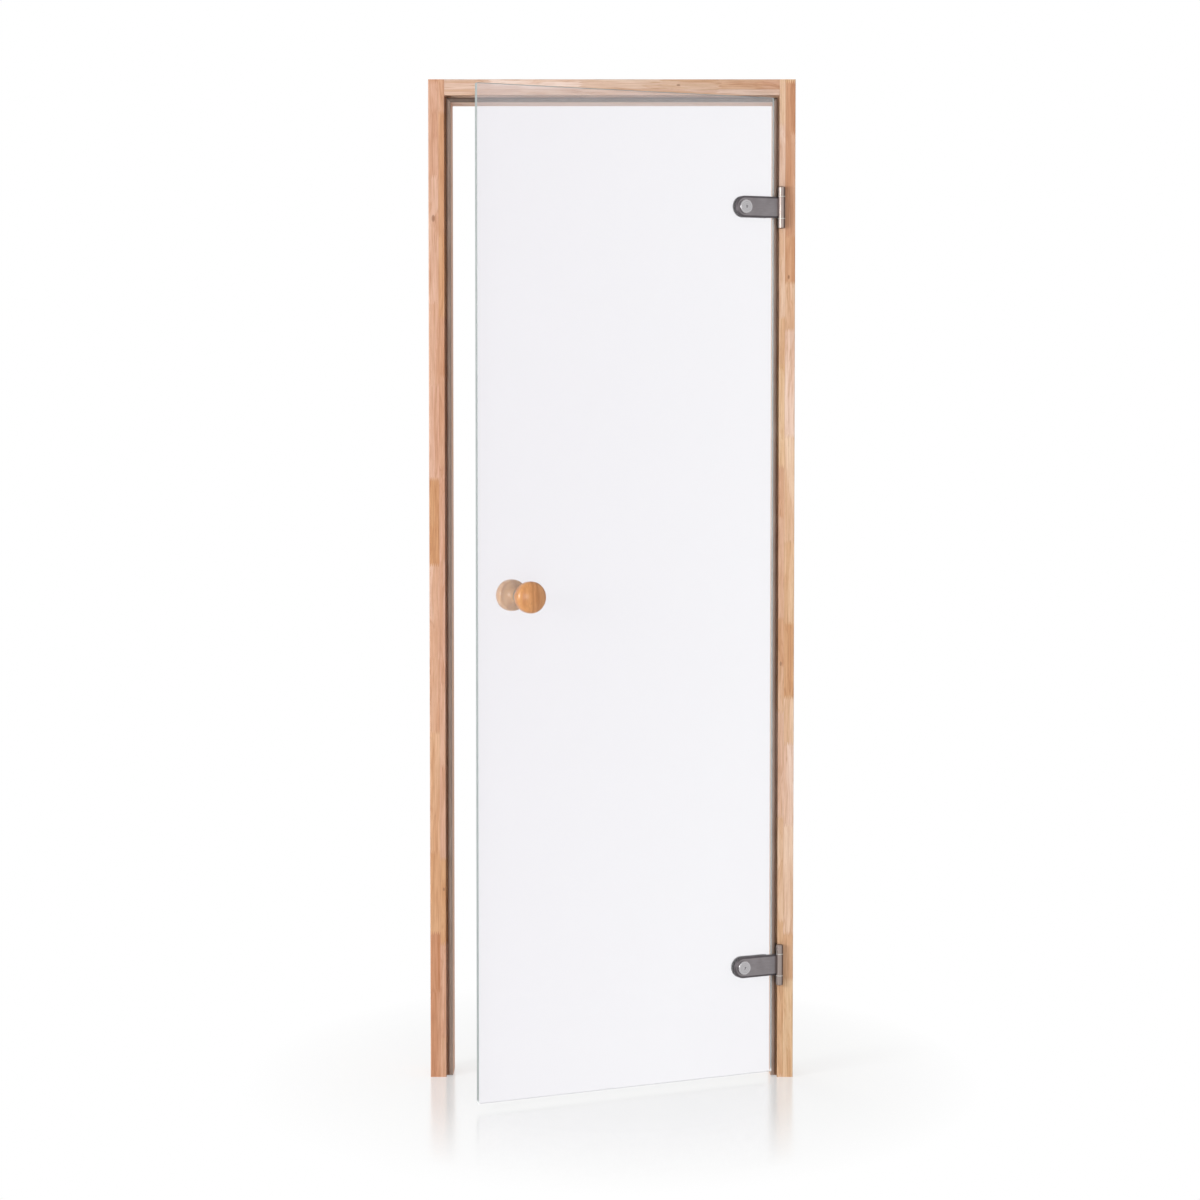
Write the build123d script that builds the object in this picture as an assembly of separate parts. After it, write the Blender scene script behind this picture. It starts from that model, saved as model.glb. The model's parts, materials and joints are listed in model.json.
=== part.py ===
from build123d import *
from math import atan2, degrees, sqrt
import os

# Sauna door: a clear glass leaf on two strap hinges, in a wooden frame without a threshold.
# Millimetres. Seen from outside the sauna, +X is to the right, +Y into the sauna and +Z up.
# The origin is on the hinge jamb's outer side face, at floor level and at half the depth.

# Wooden frame
door_width = 690.0
door_height = 1890.0
frame_depth = 92.0
face_width = 30.0
stop_width = 12.0
arris_radius = 1.5

# Glass leaf and its gaps to the frame when it is closed
glass_thickness = 8.0
hinge_gap = 8.0
latch_gap = 5.0
head_gap = 5.0
foot_gap = 12.0
glass_corner_radius = 3.0
glass_arris = 0.8
leaf_ajar = 27.5

# Bulb seal in a groove of the frame's stops
seal_width = 8.5
seal_thickness = 9.2
seal_wall = 1.3
seal_clearance = 0.3
seal_plate_gap = 0.5
seal_foot_gap = 2.0
stem_width = 2.0
stem_length = 6.4
barb_height = 1.4
barb_spread = 0.6
groove_clearance = 0.1
groove_bottom_gap = 0.4

# Hinge barrel and pin
lower_hinge_height = 217.0
upper_hinge_drop = 240.0
barrel_diameter = 13.0
barrel_height = 76.0
barrel_standoff = 1.0
pin_diameter = 7.0
pin_running_clearance = 0.05
pin_fixed_clearance = 0.02
pin_head_diameter = 11.6
pin_head_height = 2.0
washer_thickness = 1.0
washer_play = 0.1

# Hinge plate on the frame
plate_thickness = 2.5
plate_stop_gap = 1.5
plate_corner_radius = 4.0
swing_clearance = 5.5
plate_screw_pitch = 28.0
plate_screw_shank = 4.0
plate_screw_head = 7.6
plate_screw_length = 25.0

# Strap, gaskets and back plate on the glass
strap_height = 40.0
strap_thickness = 4.0
strap_reach = 77.0
bevel_width = 3.6
bevel_depth = 1.4
gasket_thickness = 1.5
gasket_inset = 0.5
back_plate_thickness = 3.0
back_plate_corner_radius = 6.0

# Clamp screw through strap, glass and back plate
clamp_shank = 6.0
clamp_cap_diameter = 26.0
clamp_cap_height = 5.0
clamp_cap_edge = 1.6
clamp_nut_height = 6.0
clamp_nut_floor = 2.0
clamp_socket = 5.0
clamp_socket_depth = 3.0
bush_diameter = 12.0
bush_end_play = 0.1
hole_clearance = 0.1

# Turned knobs
knob_height = 933.0
knob_from_free_edge = 88.0
knob_diameter = 58.0
knob_length = 53.0
knob_widest = 38.0
knob_back_diameter = 48.0
knob_back_place = 25.0
knob_foot_diameter = 31.0
knob_foot_length = 3.0
knob_neck_diameter = 23.0
knob_neck_place = 12.0
knob_washer_thickness = 1.0
knob_washer_rim = 1.5
stud_diameter = 8.0
stud_grip = 25.0
stud_end_gap = 0.3
stud_glass_hole = 12.0

# Screws that hold the jambs to the head
corner_screw_places = (-8.0, 26.0)
corner_screw_shank = 5.0
corner_screw_head = 10.0
corner_screw_length = 80.0
corner_screw_recess = 2.0

# Places that follow from the sizes above
barrel_radius = barrel_diameter / 2
member_width = face_width + stop_width
glass_setback = gasket_thickness - barrel_standoff
rebate_depth = glass_setback + glass_thickness + seal_clearance + seal_thickness
front_y = -frame_depth / 2
back_y = frame_depth / 2
stop_y = front_y + rebate_depth
glass_front_y = front_y + glass_setback
hinge_x = -face_width + barrel_radius - plate_thickness
hinge_y = front_y - barrel_standoff - barrel_radius
rebate_top_z = door_height - face_width
latch_rebate_x = -(door_width - face_width)
glass_hinge_x = -face_width - hinge_gap
glass_latch_x = latch_rebate_x + latch_gap
glass_top_z = rebate_top_z - head_gap
knob_x = glass_latch_x + knob_from_free_edge
seal_inset = plate_thickness + seal_plate_gap + seal_width / 2
groove_width = stem_width + 2 * (barb_spread + groove_clearance)
groove_depth = stem_length + groove_bottom_gap
knuckle_start = strap_height / 2 + washer_thickness + 2 * washer_play
hinge_heights = {"lower": lower_hinge_height, "upper": door_height - upper_hinge_drop}


def block(x_range, y_range, z_range):
    """A box between two values on each axis."""
    size = [high - low for low, high in (x_range, y_range, z_range)]
    middle = [(high + low) / 2 for low, high in (x_range, y_range, z_range)]
    return Pos(*middle) * Box(*size)


def rod(diameter, start, end):
    """A round bar along Z between two heights."""
    return Pos(0, 0, (start + end) / 2) * Cylinder(diameter / 2, end - start)


def along_y(shape):
    """Turn a shape made along Z so that it runs into the sauna, along +Y."""
    return Rot(-90, 0, 0) * shape


def along_x(shape):
    """Turn a shape made along Z so that it runs to the right, along +X."""
    return Rot(0, 90, 0) * shape


def turned(outline):
    """Revolve a closed half outline, drawn as radius and height, about Z."""
    return revolve(make_face(Plane.XZ * outline), Axis.Z)


def countersunk_screw(shank, head, length):
    """A wood screw along +Z, its flat head's face at Z 0, with a hexagon socket."""
    radius = shank / 2
    head_height = (head - shank) / 2
    tip_height = shank
    outline = Polyline(
        (0, 0),
        (head / 2, 0),
        (radius, head_height),
        (radius, length - tip_height),
        (0, length),
        close=True,
    )
    socket = extrude(RegularPolygon(shank * 0.45, 6), amount=head_height * 0.8)
    return turned(outline) - socket


def countersunk_hole(shank, head, length, recess):
    """The hole that a countersunk screw fills, with a straight recess above its head."""
    radius = shank / 2 + hole_clearance
    rim = head / 2 + hole_clearance
    outline = Polyline(
        (0, -recess),
        (rim, -recess),
        (rim, 0),
        (radius, rim - radius),
        (radius, length + hole_clearance),
        (0, length + hole_clearance),
        close=True,
    )
    return turned(outline)


def rounded_face(points, rounded):
    """A face inside the given corners, with the listed corners rounded to the arris."""
    face = make_face(Polyline(*points, close=True))
    corners = [min(face.vertices(), key=lambda v: abs(v.X - x) + abs(v.Y - y)) for x, y in rounded]
    return fillet(corners, arris_radius)


# Frame members
def seal_grooves():
    """The grooves for the seals' stems, in both jambs' stops and the head's stop."""
    half = groove_width / 2
    y_range = (stop_y - 1, stop_y + groove_depth)
    centre_z = rebate_top_z - seal_inset
    right = -face_width - seal_inset
    left = latch_rebate_x + seal_inset
    grooves = block((left - half, right + half), y_range, (centre_z - half, centre_z + half))
    for x in (left, right):
        grooves += block((x - half, x + half), y_range, (-1, centre_z + half))
    return grooves


def corner_screw_spots():
    """Places of the hinge side's corner screws, on the jamb's outer face."""
    height = door_height - member_width / 2
    return [Pos(-corner_screw_recess, y, height) for y in corner_screw_places]


def to_latch_side(shape):
    """Mirror a piece of the hinge side to the latch side of the frame."""
    return mirror(shape, Plane.YZ.offset(-door_width / 2))


def plain_jamb():
    """The hinge jamb's full length, with its rebate and the corner screws' holes."""
    outer = [(0, front_y), (0, back_y)]
    inner = [(-member_width, back_y), (-member_width, stop_y)]
    rebate = [(-face_width, stop_y), (-face_width, front_y)]
    profile = rounded_face(outer + inner + rebate, outer + inner + rebate[1:])
    jamb = extrude(profile, amount=door_height)
    hole = countersunk_hole(
        corner_screw_shank, corner_screw_head, corner_screw_length, corner_screw_recess + 1
    )
    for spot in corner_screw_spots():
        jamb -= spot * Rot(0, -90, 0) * hole
    return jamb


def hinge_jamb():
    """The jamb that carries the hinges, with the holes of their screws."""
    jamb = plain_jamb() - seal_grooves()
    hole = rod(plate_screw_shank + 2 * hole_clearance, 0, plate_screw_length + hole_clearance)
    for height in hinge_heights.values():
        for spot in plate_screw_spots():
            jamb -= Pos(hinge_x, hinge_y, height) * spot * along_x(hole)
    return jamb


def latch_jamb():
    """The jamb on the knob's side."""
    return to_latch_side(plain_jamb()) - seal_grooves()


def head_rail():
    """The head between the jambs, its back part shortened to pass between their stops."""
    top = [(front_y, door_height), (back_y, door_height)]
    under = [(back_y, door_height - member_width), (stop_y, door_height - member_width)]
    rebate = [(stop_y, rebate_top_z), (front_y, rebate_top_z)]
    profile = rounded_face(top + under + rebate, top + under + rebate[1:])
    start = Plane(origin=(latch_rebate_x, 0, 0), x_dir=(0, 1, 0), z_dir=(1, 0, 0))
    head = extrude(start * profile, amount=door_width - 2 * face_width)
    shoulder = block(
        (-member_width, -face_width + 1),
        (stop_y, back_y + 1),
        (door_height - member_width - 1, door_height + 1),
    )
    hole = countersunk_hole(corner_screw_shank, corner_screw_head, corner_screw_length, 1)
    for spot in corner_screw_spots():
        shoulder += spot * Rot(0, -90, 0) * hole
    return head - shoulder - to_latch_side(shoulder) - seal_grooves()


def corner_screws():
    """The two screws of the hinge side's top corner."""
    screw = countersunk_screw(corner_screw_shank, corner_screw_head, corner_screw_length)
    return [spot * Rot(0, -90, 0) * screw for spot in corner_screw_spots()]


# Seals
def seal_profile():
    """Hollow bulb on a barbed stem. +Y is out of the stop, towards the glass."""
    radius = seal_width / 2
    straight = seal_thickness - radius
    bulb = Pos(0, straight / 2) * Rectangle(seal_width, straight) + Pos(0, straight) * Circle(radius)
    hollow = offset(bulb, -seal_wall)
    stem = Pos(0, -stem_length / 2) * Rectangle(stem_width, stem_length)
    profile = bulb - hollow + stem
    for tip in (-stem_length, -stem_length + 1.6 * barb_height):
        half = stem_width / 2
        barb = Polyline(
            (-half, tip),
            (half, tip),
            (half + barb_spread, tip + barb_height),
            (-half - barb_spread, tip + barb_height),
            close=True,
        )
        profile += make_face(barb)
    return profile


def mitre_prism():
    """All that lies on the head's side of the mitre in the hinge side's top corner."""
    reach = door_width
    face = make_face(Polyline((reach, reach), (-reach, -reach), (-reach, reach), close=True))
    plane = Plane(origin=(-face_width, back_y, rebate_top_z), x_dir=(1, 0, 0), z_dir=(0, -1, 0))
    return extrude(plane * face, amount=frame_depth)


def jamb_seal():
    """The hinge jamb's seal, mitred at the top."""
    foot = Plane(
        origin=(-face_width - seal_inset, stop_y, seal_foot_gap), x_dir=(-1, 0, 0), z_dir=(0, 0, 1)
    )
    seal = extrude(foot * seal_profile(), amount=rebate_top_z - seal_foot_gap)
    return seal - mitre_prism()


def head_seal():
    """The head's seal, mitred at both ends."""
    start = Plane(
        origin=(-face_width, stop_y, rebate_top_z - seal_inset), x_dir=(0, 0, -1), z_dir=(-1, 0, 0)
    )
    seal = extrude(start * seal_profile(), amount=door_width - 2 * face_width)
    return seal & mitre_prism() & to_latch_side(mitre_prism())


# Hinges, drawn about their own axis and closed: -X along the glass, +Y into the sauna
def plate_screw_spots():
    """Places of the frame plate's screws, on the plate's face towards the doorway."""
    middle_y = (barrel_radius + swing_clearance + plate_reach()) / 2
    return [Pos(-barrel_radius, middle_y, n * plate_screw_pitch) for n in (-1, 0, 1)]


def plate_reach():
    """How far the frame plate reaches back from the hinge axis."""
    return stop_y - hinge_y - plate_stop_gap


def frame_plate():
    """The plate on the rebate's side with the upper and lower knuckle."""
    half = barrel_height / 2
    x_range = (-barrel_radius, -barrel_radius + plate_thickness)
    plate = block(x_range, (0, plate_reach()), (-half, half))
    back_corners = plate.edges().filter_by(Axis.X).group_by(Axis.Y)[-1]
    plate = fillet(back_corners, plate_corner_radius)
    notch_y = barrel_radius + swing_clearance
    plate -= block((-barrel_radius - 1, 0), (-1, notch_y), (-knuckle_start, knuckle_start))
    knuckle = rod(barrel_diameter, knuckle_start, half)
    plate += knuckle
    plate += mirror(knuckle, Plane.XY)
    hole = countersunk_hole(plate_screw_shank, plate_screw_head, plate_screw_length, 1)
    for spot in plate_screw_spots():
        plate -= spot * along_x(hole)
    return plate - rod(pin_diameter + 2 * pin_fixed_clearance, -half - 1, half + 1)


def frame_plate_screws():
    """The plate's three countersunk wood screws."""
    screw = countersunk_screw(plate_screw_shank, plate_screw_head, plate_screw_length)
    return [spot * along_x(screw) for spot in plate_screw_spots()]


def hinge_pin():
    """The pin with its two low domed heads."""
    half = barrel_height / 2
    radius = pin_head_diameter / 2
    outline = Polyline((radius, half), (0, half), (0, half + pin_head_height))
    dome = TangentArc((0, half + pin_head_height), (radius, half), tangent=(1, 0))
    head = turned(outline + dome)
    return rod(pin_diameter, -half, half) + head + mirror(head, Plane.XY)


def hinge_washers():
    """The two washers between the knuckles."""
    start = strap_height / 2 + washer_play
    ring = rod(barrel_diameter, start, start + washer_thickness)
    ring -= rod(pin_diameter + 2 * pin_running_clearance, 0, barrel_height)
    return [ring, mirror(ring, Plane.XY)]


def tongue_face(start_x, inset):
    """A flat plate's outline from start_x to the clamp screw, half round about it."""
    half = strap_height / 2 - inset
    length = strap_reach + start_x
    bar = Pos(start_x - length / 2, 0) * Rectangle(length, 2 * half)
    return bar + Pos(-strap_reach, 0) * Circle(half)


def level(y, outward):
    """A plane across the glass at depth y, its normal along +Y or, with -1, along -Y."""
    return Plane(origin=(0, y, 0), x_dir=(1, 0, 0), z_dir=(0, outward, 0))


def bevelled_plate(face, seat_y, thickness, outward):
    """A plate on seat_y whose outer side is planed to a wide flat bevel all round."""
    flat = thickness - bevel_depth
    slope = degrees(atan2(bevel_width, bevel_depth))
    body = extrude(level(seat_y, outward) * face, amount=flat)
    return body + extrude(level(seat_y + outward * flat, outward) * face, amount=bevel_depth, taper=slope)


def clamp_hole(diameter):
    """A hole about the clamp screw's line, through all that it passes."""
    return Pos(-strap_reach, 0, 0) * along_y(rod(diameter, -barrel_height, barrel_height))


def strap():
    """The leaf's strap with the middle knuckle, in front of the glass."""
    plate = bevelled_plate(tongue_face(0, 0), barrel_radius, strap_thickness, -1)
    half = strap_height / 2
    plate += rod(barrel_diameter, -half, half)
    plate -= rod(pin_diameter + 2 * pin_running_clearance, -half - 1, half + 1)
    return plate - clamp_hole(clamp_shank + 2 * hole_clearance)


def glass_front():
    """The glass's front face, seen from the hinge axis."""
    return barrel_radius + gasket_thickness


def glass_back():
    """The glass's back face, seen from the hinge axis."""
    return glass_front() + glass_thickness


def front_gasket():
    """The gasket between strap and glass."""
    start_x = glass_hinge_x - hinge_x - gasket_inset
    face = tongue_face(start_x, gasket_inset)
    pad = extrude(level(barrel_radius, 1) * face, amount=gasket_thickness)
    return pad - clamp_hole(bush_diameter + 2 * hole_clearance)


def back_plate_start():
    """Where the back plate begins, clear of the frame's stop."""
    return -face_width - stop_width - hinge_x - swing_clearance


def back_gasket():
    """The gasket between glass and back plate."""
    face = tongue_face(back_plate_start() - gasket_inset, gasket_inset)
    pad = extrude(level(glass_back(), 1) * face, amount=gasket_thickness)
    return pad - clamp_hole(bush_diameter + 2 * hole_clearance)


def back_plate():
    """The plate behind the glass that the clamp screw pulls on."""
    face = tongue_face(back_plate_start(), 0)
    face = fillet(face.vertices().group_by(Axis.X)[-1], back_plate_corner_radius)
    plate = bevelled_plate(face, glass_back() + gasket_thickness, back_plate_thickness, 1)
    return plate - clamp_hole(clamp_shank + 2 * hole_clearance)


def clamp_bush():
    """The bush round the clamp screw, in the glass's hole and both gaskets."""
    start = barrel_radius + bush_end_play
    end = glass_back() + gasket_thickness - bush_end_play
    bush = rod(bush_diameter, start, end) - rod(clamp_shank + 2 * hole_clearance, start - 1, end + 1)
    return Pos(-strap_reach, 0, 0) * along_y(bush)


def cap(height):
    """A round cap with a rolled edge, its seat at Z 0 and its face up."""
    disc = rod(clamp_cap_diameter, 0, height)
    return fillet(disc.edges().group_by(Axis.Z)[-1], clamp_cap_edge)


def clamp_screw():
    """The clamp screw with its round cap, in front of the strap."""
    seat = barrel_radius - strap_thickness
    end = nut_seat() + clamp_nut_height - clamp_nut_floor - stud_end_gap
    face = Pos(0, 0, clamp_cap_height - clamp_socket_depth)
    socket = face * extrude(RegularPolygon(clamp_socket / 2, 6, major_radius=False), clamp_cap_height)
    screw = mirror(cap(clamp_cap_height) - socket, Plane.XY) + rod(clamp_shank, 0, end - seat)
    return Pos(-strap_reach, seat, 0) * along_y(screw)


def nut_seat():
    """The back plate's outer face, seen from the hinge axis."""
    return glass_back() + gasket_thickness + back_plate_thickness


def clamp_nut():
    """The round cap nut behind the back plate."""
    bore = rod(clamp_shank + 2 * hole_clearance, -1, clamp_nut_height - clamp_nut_floor)
    return Pos(-strap_reach, nut_seat(), 0) * along_y(cap(clamp_nut_height) - bore)


# Glass and knobs, drawn closed in the frame
def glass_leaf():
    """The toughened glass with its polished arrises and its three holes."""
    glass = block(
        (glass_latch_x, glass_hinge_x),
        (glass_front_y, glass_front_y + glass_thickness),
        (foot_gap, glass_top_z),
    )
    glass = fillet(glass.edges().filter_by(Axis.Y), glass_corner_radius)
    faces = glass.faces().filter_by(Axis.Y)
    glass = chamfer([e for f in faces for e in f.edges()], glass_arris)
    for height in hinge_heights.values():
        glass -= Pos(hinge_x, hinge_y, height) * clamp_hole(bush_diameter + 2 * hole_clearance)
    knob_hole = along_y(rod(stud_glass_hole, -1, glass_thickness + 1))
    return glass - Pos(knob_x, glass_front_y, knob_height) * knob_hole


def turned_knob():
    """One knob with its foot at Z 0, bored for the stud."""
    foot = knob_foot_diameter / 2
    neck = knob_neck_diameter / 2
    head = knob_diameter / 2
    bore = stud_diameter / 2 + hole_clearance
    bore_end = stud_grip + stud_end_gap
    base = Polyline(
        (0, knob_length), (0, bore_end), (bore, bore_end), (bore, 0), (foot, 0), (foot, knob_foot_length)
    )
    throat = Spline(
        (foot, knob_foot_length),
        (neck, knob_neck_place),
        (knob_back_diameter / 2, knob_back_place),
        (head, knob_widest),
        tangents=[(-1, 0.4), (0, 1)],
    )
    shoulder = sqrt(0.5)
    crown = Spline(
        (head, knob_widest),
        (head * shoulder, knob_widest + (knob_length - knob_widest) * shoulder),
        (0, knob_length),
        tangents=[(0, 1), (-1, 0)],
    )
    return turned(base + throat + crown)


def knob_washer():
    """The washer between knob and glass."""
    ring = rod(knob_foot_diameter - 2 * knob_washer_rim, 0, knob_washer_thickness)
    return ring - rod(stud_diameter + 2 * hole_clearance, -1, knob_washer_thickness + 1)


def knob_pieces():
    """Both knobs, their washers and the stud that draws them together."""
    front = Pos(knob_x, glass_front_y, knob_height) * Rot(90, 0, 0)
    back = Pos(knob_x, glass_front_y + glass_thickness, knob_height) * Rot(-90, 0, 0)
    foot = Pos(0, 0, knob_washer_thickness)
    grip = stud_grip + knob_washer_thickness
    return {
        "outer_knob": front * foot * turned_knob(),
        "inner_knob": back * foot * turned_knob(),
        "outer_knob_washer": front * knob_washer(),
        "inner_knob_washer": back * knob_washer(),
        "knob_stud": back * rod(stud_diameter, -glass_thickness - grip, grip),
    }


def frame_pieces():
    """All that stays with the frame."""
    pieces = {
        "hinge_jamb": hinge_jamb(),
        "latch_jamb": latch_jamb(),
        "head_rail": head_rail(),
        "hinge_jamb_seal": jamb_seal(),
        "latch_jamb_seal": to_latch_side(jamb_seal()),
        "head_seal": head_seal(),
        "hinge_side_corner_screws": Compound(children=corner_screws()),
        "latch_side_corner_screws": Compound(children=[to_latch_side(s) for s in corner_screws()]),
    }
    for name, height in hinge_heights.items():
        place = Pos(hinge_x, hinge_y, height)
        pieces[name + "_hinge_frame_plate"] = place * frame_plate()
        pieces[name + "_hinge_frame_screws"] = Compound(children=[place * s for s in frame_plate_screws()])
        pieces[name + "_hinge_pin"] = place * hinge_pin()
        pieces[name + "_hinge_washers"] = Compound(children=[place * w for w in hinge_washers()])
    return pieces


def leaf_pieces():
    """All that swings with the glass, closed."""
    pieces = {"glass_leaf": glass_leaf()}
    for name, height in hinge_heights.items():
        place = Pos(hinge_x, hinge_y, height)
        pieces[name + "_hinge_strap"] = place * strap()
        pieces[name + "_hinge_front_gasket"] = place * front_gasket()
        pieces[name + "_hinge_back_gasket"] = place * back_gasket()
        pieces[name + "_hinge_back_plate"] = place * back_plate()
        pieces[name + "_hinge_bush"] = place * clamp_bush()
        pieces[name + "_hinge_clamp_screw"] = place * clamp_screw()
        pieces[name + "_hinge_clamp_nut"] = place * clamp_nut()
    pieces.update(knob_pieces())
    return pieces


os.makedirs("parts", exist_ok=True)
hinge_line = Axis((hinge_x, hinge_y, 0), (0, 0, 1))
door = frame_pieces()
for name, piece in leaf_pieces().items():
    door[name] = piece.rotate(hinge_line, leaf_ajar)
for name, piece in door.items():
    export_step(piece, f"parts/{name}.step")
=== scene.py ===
"""Looks of the sauna door: a clear glass leaf, ajar, in a finger-jointed wooden frame.

Metres. Seen from outside, +X is to the right, +Y into the sauna and +Z up.
"""
import json
import math

import bpy
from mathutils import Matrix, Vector

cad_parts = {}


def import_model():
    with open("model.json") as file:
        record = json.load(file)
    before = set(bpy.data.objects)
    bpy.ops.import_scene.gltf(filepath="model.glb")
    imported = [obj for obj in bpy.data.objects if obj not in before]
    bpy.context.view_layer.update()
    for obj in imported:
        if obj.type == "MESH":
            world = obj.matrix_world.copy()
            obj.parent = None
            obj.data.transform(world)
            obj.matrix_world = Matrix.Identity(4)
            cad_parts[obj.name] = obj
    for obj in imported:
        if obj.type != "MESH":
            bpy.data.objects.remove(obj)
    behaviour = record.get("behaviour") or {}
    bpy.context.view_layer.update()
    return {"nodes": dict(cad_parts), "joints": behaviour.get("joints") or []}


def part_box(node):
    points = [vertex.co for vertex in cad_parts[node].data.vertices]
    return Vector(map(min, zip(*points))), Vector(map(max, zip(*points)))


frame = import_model()
nodes = frame["nodes"]

# Places that follow from the frame
latch_low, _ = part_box("latch_jamb")
_, hinge_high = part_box("hinge_jamb")
DOOR_LEFT = latch_low.x
DOOR_RIGHT = hinge_high.x
DOOR_HEIGHT = hinge_high.z
FRONT_Y = latch_low.y
SWING = next(joint for joint in frame["joints"] if joint["name"] == "leaf_swing")
LEAF_AJAR = math.radians(-SWING["range_deg"][0])
GLASS_NORMAL = Vector((math.sin(LEAF_AJAR), -math.cos(LEAF_AJAR), 0))
LEAF_ALONG = Vector((math.cos(LEAF_AJAR), math.sin(LEAF_AJAR), 0))

# Camera, fitted to the door's corners, its hinges and its knobs
CAMERA_PLACE = Vector((-0.3673, -6.027, 1.279))
CAMERA_PITCH = math.radians(2.87)
CAMERA_LENS = 95.0
CAMERA_SHIFT = -0.03
SENSOR_WIDTH = 36.0
CLIP_NEAR = 0.1
CLIP_FAR = 60.0

# Each lamp's name, place, side in metres, watts, and whether glass and steel mirror it
LAMPS = [
    ("key", (-3.6, -2.9, 1.6), 2.6, 108, True),
    ("fill", (0.9, -5.2, 1.2), 3.4, 36, True),
    ("back", (-1.8, 4.6, 2.2), 3.4, 60, False),
]
# The point that the lamps face
LIT_MIDDLE = Vector((-0.345, 0, 0.95))
# How a lamp's glow fades away from its middle, in shares of its side
LAMP_FADE = {"From Min": 0.1, "From Max": 0.5, "To Min": 3.0, "To Max": 0.0}
# The world's strength as light on the door, beside 1 where it is seen
WORLD_LIGHT = 0.54
WHITE = (1.0, 1.0, 1.0, 1.0)

# Floor
FLOOR_HALF = 9.0
FLOOR_COLOUR = (254, 254, 254)
FLOOR_ROUGHNESS = 0.16
# The stretch and shift of x that put the door in the middle of rings on the floor
FLOOR_STRETCH = 1.35
FLOOR_SHIFT = 0.466
# How the plain white grows and the mirror image fades from one ring to another
FLOOR_WHITE = {"low": 0.4, "high": 0.95, "to_low": 0.55, "to_high": 1.0}
FLOOR_MIRROR = {"low": 0.5, "high": 0.85, "to_low": 0.3, "to_high": 0.0}

# Lamellas and finger joints of the frame's wood
FACE_LAMELLA = 0.019
DEPTH_LAMELLA = 0.023
LAMELLA_STAGGER = 0.382
FINGER_PITCH = 0.0038
FINGER_LENGTH = 0.009
JOINT_LINE = 0.0004

# Where each glued stick starts along the member, in metres, how pale it is and how ochre, from 0 to 1
LATCH_STICKS = [
    (0.0, 0.20, 0.2), (0.165, 0.04, 0.3), (0.28, 0.36, 0.9), (0.43, 0.52, 0.7), (0.66, 0.46, 0.3),
    (0.80, 0.60, 0.1), (0.98, 0.28, 1.0), (1.14, 0.46, 0.0), (1.32, 0.50, 0.1), (1.47, 0.58, 0.0),
    (1.71, 0.43, 0.0),
]
HINGE_STICKS = [
    (0.0, 0.84, 0.9), (0.19, 0.58, 0.8), (0.28, 0.96, 0.3), (0.48, 1.0, 0.0), (0.64, 0.92, 0.5),
    (0.73, 0.48, 1.0), (0.87, 0.72, 0.8), (1.02, 0.94, 0.5), (1.22, 0.96, 0.0), (1.42, 0.72, 0.5),
    (1.51, 0.34, 0.7), (1.60, 0.40, 0.4), (1.79, 0.26, 0.5),
]
HEAD_STICKS = [
    (0.0, 0.78, 0.1), (0.12, 1.0, 0.0), (0.29, 0.84, 0.2), (0.44, 0.70, 0.4), (0.55, 0.54, 0.5),
    (0.63, 0.40, 0.3),
]
# Share of their difference in paleness that the lamellas on the opening's side keep
INNER_CONTRAST = 0.45

# The wood's colours from dark to pale; the head's boards are greyer
JAMB_TONES = [
    (0.0, (201, 146, 114)), (0.3, (213, 166, 140)), (0.55, (222, 181, 159)), (0.8, (233, 202, 183)),
    (1.0, (239, 212, 196)),
]
HEAD_TONES = [
    (0.0, (202, 151, 126)), (0.3, (211, 167, 144)), (0.55, (220, 183, 164)), (0.8, (225, 197, 182)),
    (1.0, (239, 217, 206)),
]
# Tints that multiply the wood's colour, and colours that it turns to
OCHRE_TINT = (254, 251, 224)
RING_TINT = (240, 224, 208)
LATE_WOOD_TINT = (232, 216, 202)
FIBRE_TINT = (228, 213, 199)
PORE_COLOUR = (158, 104, 74)
KNOT_COLOUR = (138, 88, 60)
GLUE_COLOUR = (150, 104, 78)
# How far late wood, pores, knots and glue lines take on their tint or colour
LATE_WOOD_SHARE = 0.6
PORE_SHARE = 0.35
KNOT_SHARE = 0.7
GLUE_SHARE = 0.4
# How strongly a finger joint shows for each 1 of paleness between its two sticks
JOINT_GAIN = 60.0

# The wood's figure per metre: across the grain on the face, inwards and along the grain
RING_SCALES = (85.0, 85.0, 2.6)
FIBRE_SCALES = (460.0, 460.0, 15.0)
PORE_SCALES = (1700.0, 1700.0, 75.0)
# Fine lines in each ring, and the slow drift that bends the rings
LINES_PER_RING = 9.0
DRIFT_SCALE = 4.0
DRIFT_REACH = 0.05
# How far apart the figures of two sticks lie for each 1 of paleness, and those of two lamellas
STICK_SPREAD = 41.0
LAMELLA_SPREAD = 3.7

# Knots: distance from the member's outer edge, place along it, and half-width
LATCH_KNOTS = [(0.009, 1.63, 0.0030), (0.026, 0.36, 0.0016)]
HINGE_KNOTS = [(0.012, 1.52, 0.0018), (0.025, 0.79, 0.0020)]
HEAD_KNOTS = [(0.011, 0.47, 0.0016)]
# A knot's depth, its length and the start and end of its soft rim, all beside its half-width
KNOT_DEPTH = 6.0
KNOT_LENGTH = 2.1
KNOT_RIM = (0.75, 1.25)
# How gently the figure swells round a knot
KNOT_EASE = 0.6

# The pale, dark and vein colours of the knobs' wood
KNOB_COLOURS = {
    "outer_knob": ((216, 150, 86), (194, 124, 64), (160, 96, 50)),
    # The inner knob's wood is paler as a painted reflection of the glass in front of it
    "inner_knob": ((222, 173, 116), (205, 151, 94), (172, 120, 76)),
}
# Its fibre and rings per metre, and the noise, drawn out upwards, that bends the rings
KNOB_FIBRE_SCALES = (700.0, 700.0, 30.0)
KNOB_RINGS = 420.0
KNOB_BEND = 34.0
KNOB_BEND_SCALE = 26.0
KNOB_BEND_STRETCH = 0.12

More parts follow.
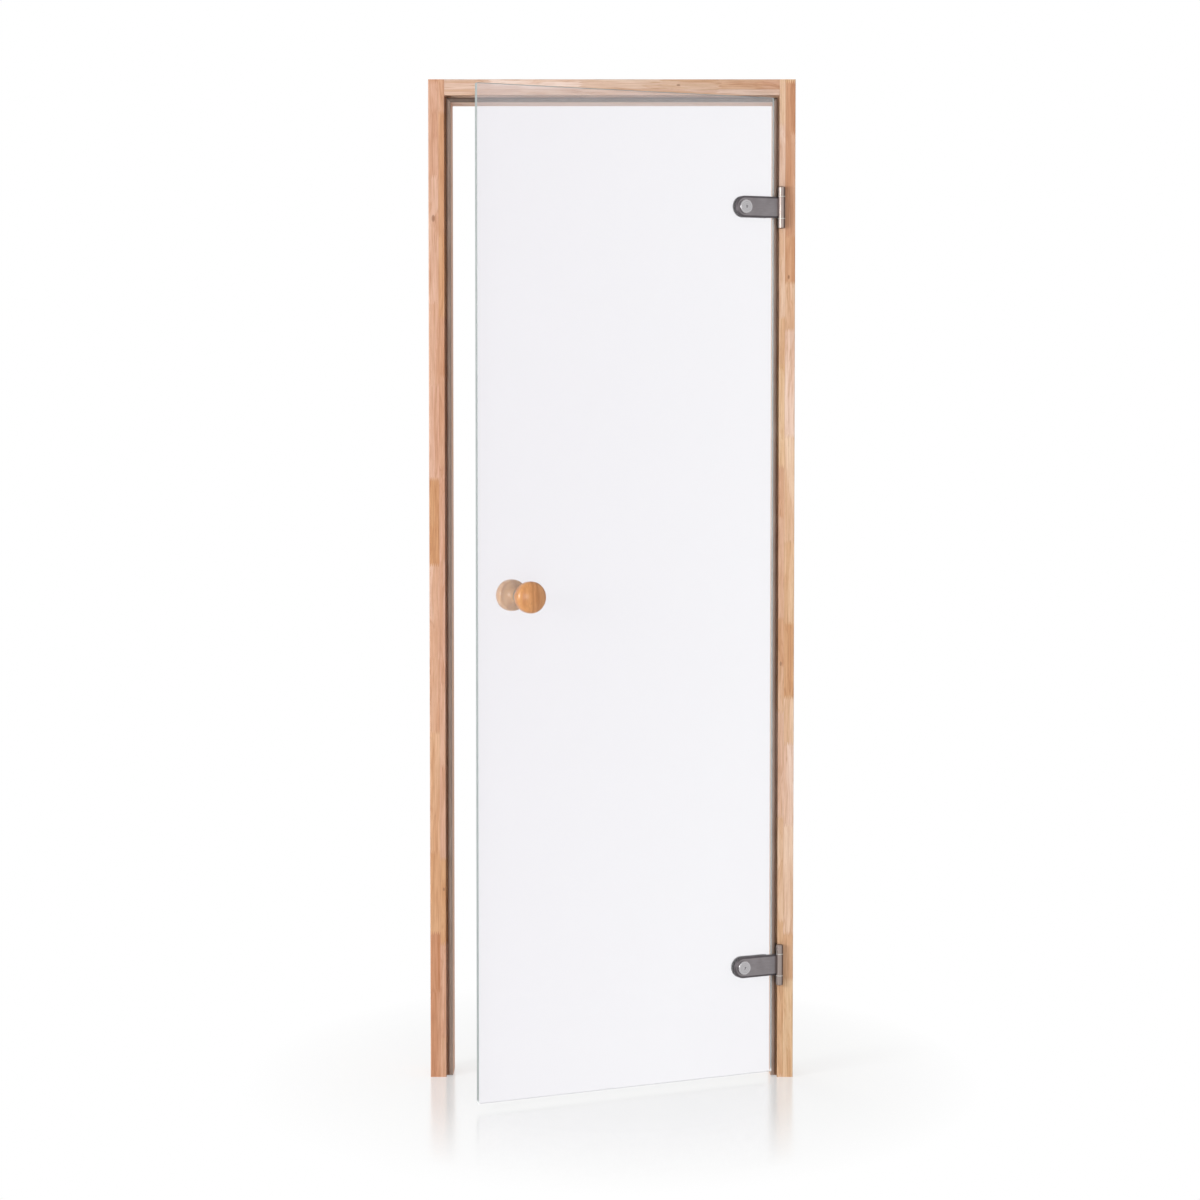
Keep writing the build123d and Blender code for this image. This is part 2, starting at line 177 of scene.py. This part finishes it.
# Colours of the other materials. Of each pair, the second is that of its marks or clouds
STRAP_STEEL = ((152, 147, 149), (124, 118, 120))
# A darker copy of the strap steel for the bevelled sides of straps and back plates: painted shade
STRAP_BEVEL_SHADE_STEEL = ((104, 99, 102), (82, 77, 80))
SCREW_STEEL = ((176, 175, 176), (152, 151, 153))
CAP_STEEL = ((198, 196, 198), (166, 163, 165))
KNUCKLE_STEEL = ((163, 150, 144), (142, 129, 123))
# Painted shade down the right front side of the hinges' knuckles
KNUCKLE_SHADE_COLOUR = (72, 54, 48)
SEAL_RUBBER = ((146, 122, 109), (164, 142, 129))
# The same rubber as the jamb seals, made darker under the head: painted shade
HEAD_SEAL_SHADED_RUBBER = ((94, 78, 68), (110, 93, 82))
GASKET_RUBBER = ((52, 51, 52), (66, 65, 66))
NYLON = ((226, 224, 216), (212, 209, 200))
# The glass's tint near the hinges, and the grey of painted shade away from them
GLASS_TINT_AND_SHADE = ((251, 250, 253), (245, 243, 247))
EDGE_TINTS = ((157, 164, 163), (145, 153, 152))
# Painted highlight along the foot of the glass's edge
EDGE_PAINTED_HIGHLIGHT = (250, 252, 251)
SHADOW_TINT = (246, 249, 250)

# Height of the relief that bumps stand for, in wood and in everything else
WOOD_RELIEF = 0.0002
FINE_RELIEF = 0.0001

# Share of the light that each face of the glass lets through clear
GLASS_CLEARNESS = 0.88
GLASS_IOR = 1.5
# Painted shade on the glass: distances from the hinges between which its tint greys, how far a faint
# cloud shifts them, and by how much they grow towards the floor
GLASS_SHADE_RUN = (0.1, 0.65)
GLASS_SHADE_CLOUD = 0.12
GLASS_SHADE_DELAY = {"low": 0.1, "high": 0.8, "to_low": 0.2, "to_high": 0.0}
# Heights between which the glass's edge turns from a painted white highlight to grey-green
EDGE_HIGHLIGHT_HEIGHTS = (0.013, 0.02)

# Brush marks per metre along the leaf, out of its face and up
BRUSHED_LENGTHWISE = (50.0, 2400.0, 2400.0)
BRUSHED_UPRIGHT = (2400.0, 2400.0, 50.0)
# Turning marks per metre away from the piece's axis and along it
TURNING_OUTWARD = 2600.0
TURNING_ALONG = 300.0

# Just over the radius of the hinges' knuckles, and where a dark band of painted shade runs down the
# knuckles' right front side
KNUCKLE_RADIUS = 0.0066
KNUCKLE_SHADE_RADIUS = 0.0062
KNUCKLE_SHADE_ANGLE = math.radians(54)
KNUCKLE_SHADE_HALF_ANGLE = math.radians(18)
# Share of the painted shade's width that is darkest, and how far it turns to the shade's colour
KNUCKLE_SHADE_CORE = 0.8
KNUCKLE_SHADE_SHARE = 0.9

# A face counts as the glass's or a strap's broad one where its normal lies this near the leaf's own
BROAD_FACE = 0.99
# The glass's lower edge is where the normal points down more steeply than this
LOWER_EDGE = -0.6


def linear(red, green, blue):
    """A colour written as 0 to 255 screen values, as the shader's linear values."""
    def one(value):
        share = value / 255
        return share / 12.92 if share <= 0.04045 else ((share + 0.055) / 1.055) ** 2.4
    return (one(red), one(green), one(blue), 1.0)


def leaf_middle(node):
    """The middle of a node along the leaf, out of its face and up."""
    points = [vertex.co for vertex in nodes[node].data.vertices]
    turned = [(LEAF_ALONG.dot(point), GLASS_NORMAL.dot(point), point.z) for point in points]
    return Vector([(min(part) + max(part)) / 2 for part in zip(*turned)])


class Shader:
    """The node tree of a material, lamp or world, and short ways to build it."""

    def __init__(self, owner, output="ShaderNodeOutputMaterial"):
        owner.use_nodes = True
        self.owner = owner
        self.tree = owner.node_tree
        self.tree.nodes.clear()
        self.output = self.node(output)

    def node(self, kind, settings=None, inputs=None):
        made = self.tree.nodes.new(kind)
        for name, value in (settings or {}).items():
            setattr(made, name, value)
        for name, value in (inputs or {}).items():
            self.plug(made.inputs[name], value)
        return made

    def plug(self, socket, value):
        if isinstance(value, bpy.types.NodeSocket):
            self.tree.links.new(value, socket)
        else:
            socket.default_value = value

    def math(self, operation, *values):
        inputs = dict(enumerate(values))
        return self.node("ShaderNodeMath", {"operation": operation}, inputs).outputs[0]

    def point(self):
        """The point's place in the row frame."""
        return self.node("ShaderNodeTexCoord").outputs["Object"]

    def place(self):
        """The three parts of the point's place in the row frame."""
        return list(self.node("ShaderNodeSeparateXYZ", inputs={"Vector": self.point()}).outputs)

    def leaf_place(self):
        """The point's place along the leaf, out of its face and up."""
        x, y, z = self.place()
        along = self.math("MULTIPLY_ADD", y, LEAF_ALONG.y, self.math("MULTIPLY", x, LEAF_ALONG.x))
        out = self.math("MULTIPLY_ADD", y, GLASS_NORMAL.y, self.math("MULTIPLY", x, GLASS_NORMAL.x))
        return along, out, z

    def vector(self, x, y, z):
        return self.node("ShaderNodeCombineXYZ", inputs={"X": x, "Y": y, "Z": z}).outputs[0]

    def scaled(self, place, scales):
        """The place with each of its parts times its own scale."""
        return self.vector(*[self.math("MULTIPLY", part, scale) for part, scale in zip(place, scales)])

    def length(self, vector):
        return self.node("ShaderNodeVectorMath", {"operation": "LENGTH"}, {0: vector}).outputs["Value"]

    def noise(self, vector, scale=1.0, detail=2.0, roughness=0.5):
        inputs = {"Vector": vector, "Scale": scale, "Detail": detail, "Roughness": roughness}
        return self.node("ShaderNodeTexNoise", inputs=inputs).outputs["Fac"]

    def ramp(self, value, stops, interpolation="LINEAR"):
        """A colour ramp through (position, colour) pairs."""
        made = self.node("ShaderNodeValToRGB", inputs={"Fac": value})
        made.color_ramp.interpolation = interpolation
        elements = made.color_ramp.elements
        while len(elements) < len(stops):
            elements.new(0.5)
        for element, (position, colour) in zip(elements, stops):
            element.position = position
            element.color = colour
        return made.outputs["Color"]

    def parts(self, colour):
        """The red, green and blue of a colour."""
        return self.node("ShaderNodeSeparateColor", inputs={"Color": colour}).outputs

    def span(self, value, low=0.0, high=1.0, to_low=0.0, to_high=1.0):
        """A value's range moved to another range and held inside it."""
        inputs = {"Value": value, "From Min": low, "From Max": high, "To Min": to_low, "To Max": to_high}
        return self.node("ShaderNodeMapRange", inputs=inputs).outputs["Result"]

    def vary(self, noise, to_low=0.0, to_high=1.0):
        """The usual range of a noise moved to another range."""
        return self.span(noise, 0.3, 0.7, to_low, to_high)

    def mix(self, factor, first, second, blend="MIX"):
        settings = {"data_type": "RGBA", "blend_type": blend}
        return self.node("ShaderNodeMix", settings, {0: factor, 6: first, 7: second}).outputs[2]

    def blend(self, factor, pair):
        """From the first to the second of two colours written as screen values."""
        return self.mix(factor, linear(*pair[0]), linear(*pair[1]))

    def tinted(self, colour, tint):
        """A colour times a tint written as screen values."""
        return self.mix(1.0, colour, linear(*tint), "MULTIPLY")

    def bump(self, height, strength, distance=FINE_RELIEF):
        inputs = {"Height": height, "Strength": strength, "Distance": distance}
        return self.node("ShaderNodeBump", inputs=inputs).outputs["Normal"]

    def principled(self, **inputs):
        named = {name.replace("_", " "): value for name, value in inputs.items()}
        return self.node("ShaderNodeBsdfPrincipled", inputs=named).outputs[0]

    def mix_shaders(self, factor, first, second):
        return self.node("ShaderNodeMixShader", inputs={0: factor, 1: first, 2: second}).outputs[0]

    def complete(self, surface):
        """Join the surface to the output, and give the material, lamp or world."""
        self.plug(self.output.inputs[0], surface)
        return self.owner


def new_shader(name):
    """An empty material's shader."""
    return Shader(bpy.data.materials.new(name))


# Ways to measure along a member and from its outer edge
def from_right(shader, place):
    return shader.math("SUBTRACT", DOOR_RIGHT, place[0])


def from_left(shader, place):
    return shader.math("SUBTRACT", place[0], DOOR_LEFT)


def from_top(shader, place):
    return shader.math("SUBTRACT", DOOR_HEIGHT, place[2])


def from_floor(shader, place):
    return place[2]


# Frame wood
def wood_sticks(shader, grain, edge, depth, length, sticks):
    """The glued sticks: how pale and how ochre each is, its own place in the figure, and its ends."""
    inner = shader.math("GREATER_THAN", edge, FACE_LAMELLA)
    row = shader.math("FLOOR", shader.math("DIVIDE", depth, DEPTH_LAMELLA))
    lamella = shader.math("MULTIPLY_ADD", row, 2.0, inner)
    stagger = shader.math("FRACT", shader.math("MULTIPLY", lamella, LAMELLA_STAGGER))
    fingers = shader.math("PINGPONG", edge, FINGER_PITCH / 2)
    zigzag = shader.math("MULTIPLY", fingers, 2 * FINGER_LENGTH / FINGER_PITCH)
    run = shader.math("DIVIDE", shader.math("ADD", grain, zigzag), length)
    stops = [(start / length, (tone, ochre, 0.0, 1.0)) for start, tone, ochre in sticks]
    shift = shader.math("FRACT", shader.math("ADD", run, stagger))
    ahead = shader.math("FRACT", shader.math("ADD", shift, JOINT_LINE / length))
    here = shader.parts(shader.ramp(shift, stops, "CONSTANT"))
    beyond = shader.parts(shader.ramp(ahead, stops, "CONSTANT"))
    step = shader.math("ABSOLUTE", shader.math("SUBTRACT", here["Red"], beyond["Red"]))
    middle_tone = sum(stick[1] for stick in sticks) / len(sticks)
    off_middle = shader.math("SUBTRACT", here["Red"], middle_tone)
    keep = shader.span(inner, to_low=1.0, to_high=INNER_CONTRAST)
    tone = shader.math("MULTIPLY_ADD", off_middle, keep, middle_tone)
    own = shader.math("MULTIPLY_ADD", tone, STICK_SPREAD, shader.math("MULTIPLY", lamella, LAMELLA_SPREAD))
    return tone, here["Green"], own, step


def wood_knots(shader, grain, edge, depth, knots):
    """The knots: how far they push the figure aside, and how dark they are."""
    bulge = 0.0
    dark = 0.0
    for offset, at, half_width in knots:
        far = shader.vector(
            shader.math("DIVIDE", shader.math("SUBTRACT", edge, offset), half_width),
            shader.math("DIVIDE", depth, KNOT_DEPTH * half_width),
            shader.math("DIVIDE", shader.math("SUBTRACT", grain, at), KNOT_LENGTH * half_width),
        )
        away = shader.length(far)
        spot = shader.span(away, *KNOT_RIM, 1.0, 0.0)
        swell = shader.math("DIVIDE", half_width, shader.math("MULTIPLY_ADD", away, away, KNOT_EASE))
        bulge = shader.math("ADD", bulge, swell)
        dark = shader.math("MAXIMUM", dark, spot)
    return bulge, dark


def frame_wood(name, along, from_edge, length, sticks, knots, tones):
    """Planed wood in glued lamellas, whose sticks are finger-jointed along the member.

    along and from_edge give, from the place's three parts, the distance along the grain and
    the distance from the member's outer edge.
    """
    shader = new_shader(name)
    place = shader.place()
    grain = along(shader, place)
    edge = from_edge(shader, place)
    depth = shader.math("SUBTRACT", place[1], FRONT_Y)
    tone, ochre, own, step = wood_sticks(shader, grain, edge, depth, length, sticks)
    bulge, dark = wood_knots(shader, grain, edge, depth, knots)

    across = shader.math("ADD", shader.math("ADD", edge, own), bulge)
    inward = shader.math("ADD", depth, own)
    drift = shader.noise(shader.vector(across, inward, grain), scale=DRIFT_SCALE)
    swirl = shader.math("MULTIPLY", drift, DRIFT_REACH)
    swirled = (shader.math("ADD", across, swirl), shader.math("ADD", inward, swirl), grain)
    rings = shader.noise(shader.scaled(swirled, RING_SCALES), detail=3.0, roughness=0.55)
    lines = shader.math("PINGPONG", shader.math("MULTIPLY", rings, LINES_PER_RING), 1.0)
    straight = (across, inward, grain)
    fibre = shader.noise(shader.scaled(straight, FIBRE_SCALES), detail=5.0, roughness=0.62)
    pores = shader.span(shader.noise(shader.scaled(straight, PORE_SCALES), detail=1.0), 0.62, 0.74)

    pink = shader.ramp(tone, [(at, linear(*colour)) for at, colour in tones])
    colour = shader.mix(ochre, pink, shader.tinted(pink, OCHRE_TINT))
    colour = shader.mix(shader.span(rings, 0.35, 0.68), colour, shader.tinted(colour, RING_TINT))
    late = shader.span(lines, 0.7, 1.0, 0.0, LATE_WOOD_SHARE)
    colour = shader.mix(late, colour, shader.tinted(colour, LATE_WOOD_TINT))
    colour = shader.mix(shader.span(fibre, 0.42, 0.72), colour, shader.tinted(colour, FIBRE_TINT))
    colour = shader.mix(shader.math("MULTIPLY", pores, PORE_SHARE), colour, linear(*PORE_COLOUR))
    colour = shader.mix(shader.math("MULTIPLY", dark, KNOT_SHARE), colour, linear(*KNOT_COLOUR))
    ends = shader.math("MINIMUM", shader.math("MULTIPLY", step, JOINT_GAIN), GLUE_SHARE)
    from_glue = shader.math("ABSOLUTE", shader.math("SUBTRACT", edge, FACE_LAMELLA))
    glue = shader.math("MAXIMUM", ends, shader.span(from_glue, 0.0, JOINT_LINE, GLUE_SHARE, 0.0))
    height = shader.math("SUBTRACT", fibre, shader.math("MULTIPLY", pores, 0.6))
    return shader.complete(shader.principled(
        Base_Color=shader.mix(glue, colour, linear(*GLUE_COLOUR)),
        Roughness=shader.span(fibre, 0.3, 0.8, 0.5, 0.62),
        Specular_IOR_Level=0.35,
        Normal=shader.bump(height, 0.22, WOOD_RELIEF),
    ))


# Knob wood
def knob_wood(name, node, pale, dark, vein):
    """Varnished turned wood, its grain upright through the knob."""
    shader = new_shader(name)
    middle = leaf_middle(node)
    x, y, z = [shader.math("SUBTRACT", part, at) for part, at in zip(shader.leaf_place(), middle)]
    bend_at = shader.vector(x, y, shader.math("MULTIPLY", z, KNOB_BEND_STRETCH))
    bend = shader.noise(bend_at, scale=KNOB_BEND_SCALE)
    turns = shader.math("MULTIPLY_ADD", bend, KNOB_BEND, shader.math("MULTIPLY", x, KNOB_RINGS))
    rings = shader.math("SINE", turns)
    fibre = shader.noise(shader.scaled((x, y, z), KNOB_FIBRE_SCALES), detail=4.0, roughness=0.6)
    colour = shader.blend(shader.span(rings, low=-1.0), (pale, dark))
    colour = shader.mix(shader.span(fibre, 0.42, 0.75, 0.0, 0.5), colour, linear(*vein))
    return shader.complete(shader.principled(
        Base_Color=colour,
        Roughness=0.38,
        Coat_Weight=0.6,
        Coat_Roughness=0.16,
        Normal=shader.bump(fibre, 0.12, WOOD_RELIEF),
    ))


# Glass
def clear_glass():
    """Clear sheet glass with a faint white haze on each face, its tint greyed by painted shade away from
    the hinges. Lamps shine through it.
    """
    shader = new_shader("clear_glass")
    x, _, z = shader.place()
    from_hinges = shader.math("SUBTRACT", DOOR_RIGHT, x)
    cloud = shader.noise(shader.point(), scale=1.6, detail=1.0)
    # Painted shade: the tint greys away from the hinges, less so near the floor
    shade_delay = shader.span(z, **GLASS_SHADE_DELAY)
    shade_reach = shader.math("SUBTRACT", shader.math("MULTIPLY_ADD", cloud, GLASS_SHADE_CLOUD, from_hinges), shade_delay)
    glass = shader.principled(
        Base_Color=shader.blend(shader.span(shade_reach, *GLASS_SHADE_RUN), GLASS_TINT_AND_SHADE),
        Roughness=0.0,
        IOR=GLASS_IOR,
        Transmission_Weight=GLASS_CLEARNESS,
    )
    tint = linear(*SHADOW_TINT)
    open_way = shader.node("ShaderNodeBsdfTransparent", inputs={"Color": tint}).outputs[0]
    path = shader.node("ShaderNodeLightPath").outputs
    unseen = shader.math("MAXIMUM", path["Is Shadow Ray"], path["Is Diffuse Ray"])
    return shader.complete(shader.mix_shaders(unseen, glass, open_way))


def glass_edge():
    """The ground edge, where the thickness of the sheet shows a pale grey-green, with a painted white
    highlight along its foot.
    """
    shader = new_shader("clear_glass_edge")
    height = shader.place()[2]
    waves = shader.noise(shader.point(), scale=30.0, detail=1.0)
    fine = shader.noise(shader.point(), scale=1800.0)
    # A painted white highlight along the edge's foot
    above_highlight = shader.span(height, *EDGE_HIGHLIGHT_HEIGHTS)
    return shader.complete(shader.principled(
        Base_Color=shader.mix(above_highlight, linear(*EDGE_PAINTED_HIGHLIGHT), shader.blend(waves, EDGE_TINTS)),
        Roughness=shader.vary(fine, 0.22, 0.36),
        Normal=shader.bump(fine, 0.08),
    ))


# Metal, rubber and plastic
def brushed_steel(name, colours, scales):
    """Satin steel with fine brush marks, whose scales are along the leaf, out of its face and up."""
    shader = new_shader(name)
    place = shader.leaf_place()
    main, dark = colours
    marks = shader.noise(shader.scaled(place, scales), detail=3.0, roughness=0.7)
    cloud = shader.noise(shader.vector(*place), scale=55.0, detail=3.0)
    tint = shader.blend(shader.vary(marks), (dark, main))
    return shader.complete(shader.principled(
        Base_Color=shader.mix(shader.span(cloud, 0.35, 0.7, 0.0, 0.5), tint, linear(*dark)),
        Metallic=1.0,
        Roughness=shader.vary(cloud, 0.28, 0.42),
        Normal=shader.bump(marks, 0.1),
    ))


def knuckle_steel(name):
    """Satin steel round the hinges' axis, with a dark band of painted shade down its right front side."""
    shader = new_shader(name)
    low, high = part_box("upper_hinge_pin")
    axis = (low + high) / 2
    place = shader.place()
    main, dark = KNUCKLE_STEEL
    aside = shader.math("SUBTRACT", place[0], axis.x)
    out = shader.math("SUBTRACT", axis.y, place[1])
    radius = shader.length(shader.vector(aside, out, 0.0))
    # A dark band of painted shade down the knuckles' right front side
    turn = shader.math("ABSOLUTE", shader.math("SUBTRACT", shader.math("ARCTAN2", aside, out), KNUCKLE_SHADE_ANGLE))
    near = shader.span(turn, KNUCKLE_SHADE_CORE * KNUCKLE_SHADE_HALF_ANGLE, KNUCKLE_SHADE_HALF_ANGLE, KNUCKLE_SHADE_SHARE, 0.0)
    knuckle_shade = shader.math("MULTIPLY", near, shader.math("GREATER_THAN", radius, KNUCKLE_SHADE_RADIUS))
    marks = shader.noise(shader.scaled(place, BRUSHED_UPRIGHT), detail=3.0, roughness=0.7)
    cloud = shader.noise(shader.point(), scale=55.0, detail=3.0)
    tint = shader.blend(shader.vary(marks), (dark, main))
    return shader.complete(shader.principled(
        Base_Color=shader.mix(knuckle_shade, tint, linear(*KNUCKLE_SHADE_COLOUR)),
        Metallic=1.0,
        Roughness=shader.vary(cloud, 0.28, 0.42),
        Normal=shader.bump(marks, 0.03),
    ))


def turned_steel(name, node, colours):
    """Bright steel with turning rings round the piece's own axis, which stands on the glass."""
    shader = new_shader(name)
    middle = leaf_middle(node)
    along, out, z = shader.leaf_place()
    main, dark = colours
    aside = shader.math("SUBTRACT", along, middle.x)
    above = shader.math("SUBTRACT", z, middle.z)
    radius = shader.length(shader.vector(aside, above, 0.0))
    outward = shader.math("MULTIPLY", radius, TURNING_OUTWARD)
    lengthwise = shader.math("MULTIPLY", out, TURNING_ALONG)
    rings = shader.noise(shader.vector(outward, lengthwise, 0.0), roughness=0.6)
    cloud = shader.noise(shader.vector(along, out, z), scale=90.0, detail=3.0)
    return shader.complete(shader.principled(
        Base_Color=shader.blend(shader.vary(rings), (dark, main)),
        Metallic=1.0,
        Roughness=shader.vary(cloud, 0.2, 0.3),
        Normal=shader.bump(rings, 0.1),
    ))


def rubber(name, colours):
    """Matt extruded rubber with a faint bloom, drawn out upwards."""
    shader = new_shader(name)
    drawn_out = shader.scaled(shader.place(), (1.0, 1.0, 0.2))
    cloud = shader.noise(drawn_out, scale=90.0, detail=4.0)
    fine = shader.noise(shader.point(), scale=2200.0)
    return shader.complete(shader.principled(
        Base_Color=shader.blend(shader.span(cloud, 0.35, 0.7), colours),
        Roughness=shader.vary(cloud, 0.42, 0.56),
        Specular_IOR_Level=0.4,
        Normal=shader.bump(fine, 0.1),
    ))


def nylon(name, colours):
    """Natural nylon, a little waxy."""
    shader = new_shader(name)
    cloud = shader.noise(shader.point(), scale=140.0, detail=3.0)
    return shader.complete(shader.principled(
        Base_Color=shader.blend(cloud, colours),
        Roughness=0.42,
        Subsurface_Weight=0.1,
    ))


# Materials on the nodes
def dress(node, material):
    """Give a CAD node one material."""
    mesh = nodes[node].data
    mesh.materials.clear()
    mesh.materials.append(material)


def dress_sides(node, material):
    """Give the faces that don't lie along the glass a second material."""
    mesh = nodes[node].data
    mesh.materials.append(material)
    for polygon in mesh.polygons:
        broad = abs(polygon.normal.dot(GLASS_NORMAL)) > BROAD_FACE
        polygon.material_index = 0 if broad else 1


def dress_knuckle(node, material):
    """Give a strap's faces round the hinge pin a third material."""
    mesh = nodes[node].data
    mesh.materials.append(material)
    low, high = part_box(node.replace("strap", "pin"))
    axis = (low + high) / 2
    for polygon in mesh.polygons:
        if (polygon.center - axis).xy.length < KNUCKLE_RADIUS:
            polygon.material_index = 2


def dress_frame():
    """The wooden members and the seals."""
    width = DOOR_RIGHT - DOOR_LEFT
    members = {
        "hinge_jamb": (from_floor, from_right, DOOR_HEIGHT, HINGE_STICKS, HINGE_KNOTS, JAMB_TONES),
        "latch_jamb": (from_floor, from_left, DOOR_HEIGHT, LATCH_STICKS, LATCH_KNOTS, JAMB_TONES),
        "head_rail": (from_left, from_top, width, HEAD_STICKS, HEAD_KNOTS, HEAD_TONES),
    }
    for node, wood in members.items():
        dress(node, frame_wood(node + "_wood", *wood))
    seal = rubber("seal_rubber", SEAL_RUBBER)
    dress("hinge_jamb_seal", seal)
    dress("latch_jamb_seal", seal)
    # The head's seal is darker than the jambs' seals: painted shade
    dress("head_seal", rubber("head_seal_shaded_rubber", HEAD_SEAL_SHADED_RUBBER))


def dress_leaf():
    """The glass and the knobs. The glass's lower edge stays as clear as its faces."""
    for node, colours in KNOB_COLOURS.items():
        dress(node, knob_wood(node + "_wood", node, *colours))
    dress("glass_leaf", clear_glass())
    dress_sides("glass_leaf", glass_edge())
    for polygon in nodes["glass_leaf"].data.polygons:
        if polygon.normal.z < LOWER_EDGE:
            polygon.material_index = 0


def dress_fittings():
    """The hinges and every screw, washer, bush and gasket."""
    gasket = rubber("gasket_rubber", GASKET_RUBBER)
    white = nylon("pale_nylon", NYLON)
    strap_steel = brushed_steel("hinge_steel", STRAP_STEEL, BRUSHED_LENGTHWISE)
    # The bevelled sides get a darker copy of the steel: painted shade
    bevel_shade_steel = brushed_steel("hinge_side_steel", STRAP_BEVEL_SHADE_STEEL, BRUSHED_LENGTHWISE)
    screw_steel = brushed_steel("screw_steel", SCREW_STEEL, BRUSHED_UPRIGHT)
    pin_steel = knuckle_steel("pin_steel")
    for node in nodes:
        if node.endswith("gasket"):
            dress(node, gasket)
        elif node.endswith(("washers", "washer", "bush")):
            dress(node, white)
        elif node.endswith(("clamp_screw", "clamp_nut")):
            dress(node, turned_steel(node + "_steel", node, CAP_STEEL))
        elif node.endswith(("frame_plate", "pin")):
            dress(node, pin_steel)
        elif node.endswith(("screws", "stud")):
            dress(node, screw_steel)
        elif node.endswith(("strap", "back_plate")):
            dress(node, strap_steel)
            dress_sides(node, bevel_shade_steel)
            if node.endswith("strap"):
                dress_knuckle(node, pin_steel)


# Stage, light and camera
def place_object(name, data):
    """An object of the scene that holds the data."""
    made = bpy.data.objects.new(name, data)
    bpy.context.collection.objects.link(made)
    return made


def floor():
    """A white floor that keeps the door's shadow and a faint mirror image of its feet."""
    shader = new_shader("floor")
    x, y, _ = shader.place()
    matt = shader.node("ShaderNodeBsdfDiffuse", inputs={"Color": linear(*FLOOR_COLOUR)}).outputs[0]
    white = shader.node("ShaderNodeEmission", inputs={"Color": WHITE, "Strength": 1.0}).outputs[0]
    gloss = {"Color": WHITE, "Roughness": FLOOR_ROUGHNESS}
    mirror = shader.node("ShaderNodeBsdfGlossy", inputs=gloss).outputs[0]
    path = shader.node("ShaderNodeLightPath").outputs
    seen = shader.math("MAXIMUM", path["Is Camera Ray"], path["Is Transmission Ray"])
    from_door = shader.vector(shader.math("MULTIPLY_ADD", x, FLOOR_STRETCH, FLOOR_SHIFT), y, 0.0)
    away = shader.length(from_door)
    share = shader.math("MULTIPLY", seen, shader.span(away, **FLOOR_WHITE))
    ground = shader.mix_shaders(shader.math("MAXIMUM", share, path["Is Glossy Ray"]), matt, white)
    mirrored = shader.math("MULTIPLY", seen, shader.span(away, **FLOOR_MIRROR))
    material = shader.complete(shader.mix_shaders(mirrored, ground, mirror))

    mesh = bpy.data.meshes.new("floor")
    low, high = -FLOOR_HALF, FLOOR_HALF
    corners = [(low, low, 0), (high, low, 0), (high, high, 0), (low, high, 0)]
    mesh.from_pydata(corners, [], [(0, 1, 2, 3)])
    mesh.materials.append(material)
    place_object("floor", mesh)


def world():
    """White to look at, and a soft even light on the door."""
    shader = Shader(bpy.data.worlds.new("studio"), "ShaderNodeOutputWorld")
    path = shader.node("ShaderNodeLightPath").outputs
    seen = shader.math("MAXIMUM", path["Is Camera Ray"], path["Is Glossy Ray"])
    seen = shader.math("MAXIMUM", seen, path["Is Transmission Ray"])
    strength = shader.span(seen, to_low=WORLD_LIGHT)
    inputs = {"Color": WHITE, "Strength": strength}
    background = shader.node("ShaderNodeBackground", inputs=inputs).outputs[0]
    bpy.context.scene.world = shader.complete(background)


def soft_box(name, place, side, watts, mirrored):
    """A square lamp that faces the door and fades out towards its own edges.

    The key stands over the left shoulder, the fill in front and the back lamp behind the door.
    """
    lamp = bpy.data.lights.new(name, "AREA")
    lamp.shape = "SQUARE"
    lamp.size = side
    lamp.energy = watts
    shader = Shader(lamp, "ShaderNodeOutputLight")
    spot = shader.node("ShaderNodeNewGeometry").outputs["Parametric"]
    from_middle = {0: spot, 1: (0.5, 0.5, 0)}
    away = shader.node("ShaderNodeVectorMath", {"operation": "DISTANCE"}, from_middle).outputs["Value"]
    smooth = {"interpolation_type": "SMOOTHSTEP"}
    fade = shader.node("ShaderNodeMapRange", smooth, {"Value": away, **LAMP_FADE}).outputs["Result"]
    shader.complete(shader.node("ShaderNodeEmission", inputs={"Strength": fade}).outputs[0])
    made = place_object(name, lamp)
    made.visible_camera = False
    made.visible_transmission = False
    made.visible_glossy = mirrored
    made.location = place
    made.rotation_euler = (LIT_MIDDLE - Vector(place)).to_track_quat("-Z", "Y").to_euler()


def camera():
    """The photograph's camera."""
    data = bpy.data.cameras.new("camera")
    data.lens = CAMERA_LENS
    data.sensor_width = SENSOR_WIDTH
    data.shift_y = CAMERA_SHIFT
    data.clip_start = CLIP_NEAR
    data.clip_end = CLIP_FAR
    made = place_object("camera", data)
    made.location = CAMERA_PLACE
    made.rotation_euler = (math.pi / 2 - CAMERA_PITCH, 0, 0)
    bpy.context.scene.camera = made


dress_frame()
dress_leaf()
dress_fittings()
floor()
world()
for lamp in LAMPS:
    soft_box(*lamp)
camera()
bpy.context.scene.view_settings.view_transform = "Standard"
